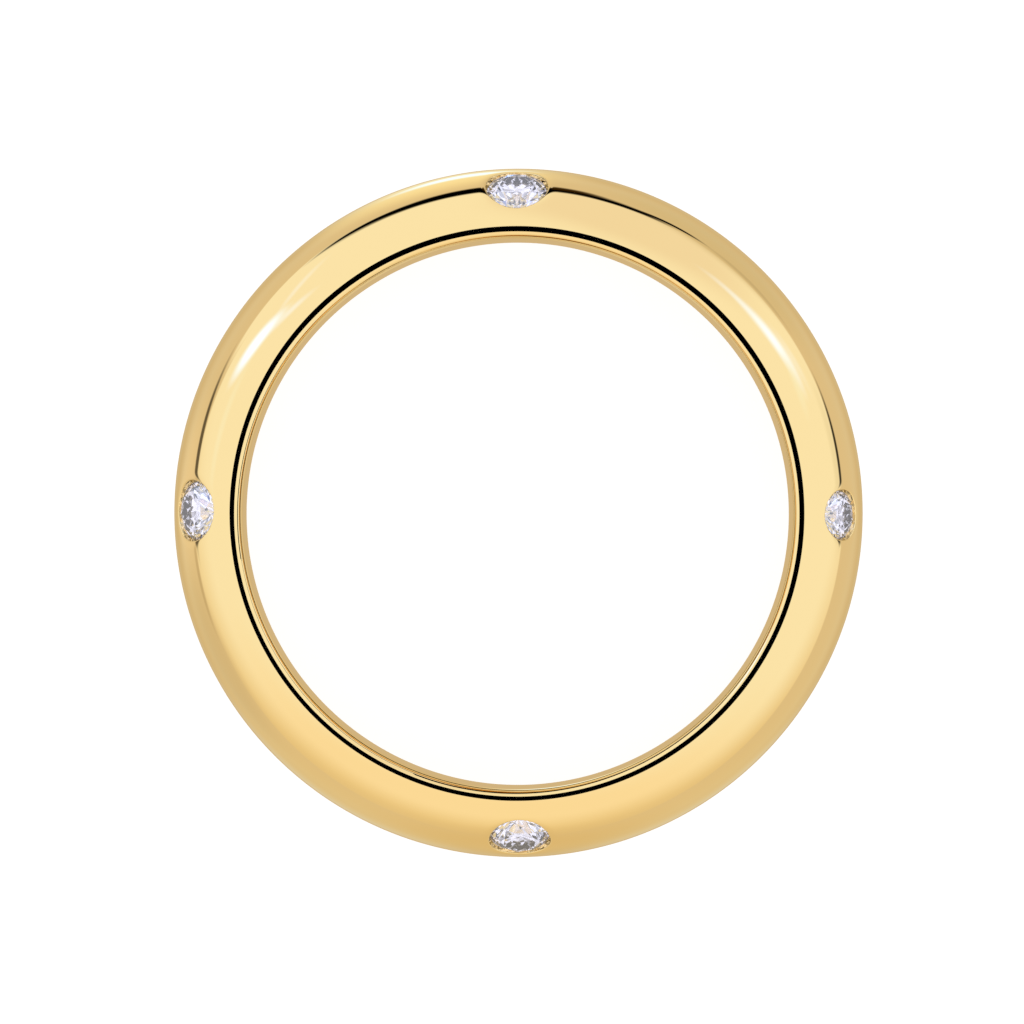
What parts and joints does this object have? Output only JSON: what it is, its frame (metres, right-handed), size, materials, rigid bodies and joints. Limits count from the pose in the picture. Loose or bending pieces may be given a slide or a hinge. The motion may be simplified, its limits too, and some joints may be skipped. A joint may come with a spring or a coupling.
{
  "type": "moissanite ring",
  "caption": "Domed yellow gold finger band with round brilliant moissanites set flush in one shoulder, lying on its side.",
  "frame": {"origin": "on the bore's axis, in the plane of the lower side edge", "axes": "+Z along the bore's axis, out of the side whose shoulder holds the stones; +Y towards the stone at the back; +X towards the smaller stone at the right"},
  "size_m": [0.0218, 0.0218, 0.0052],
  "materials": {
    "gold": "mirror polished yellow gold",
    "stone": "clear, faceted and polished"
  },
  "bodies": {
    "root": {"band": "gold", "stone_back": "stone", "stone_right": "stone", "stone_front": "stone", "stone_left": "stone"}
  },
  "joints": []
}
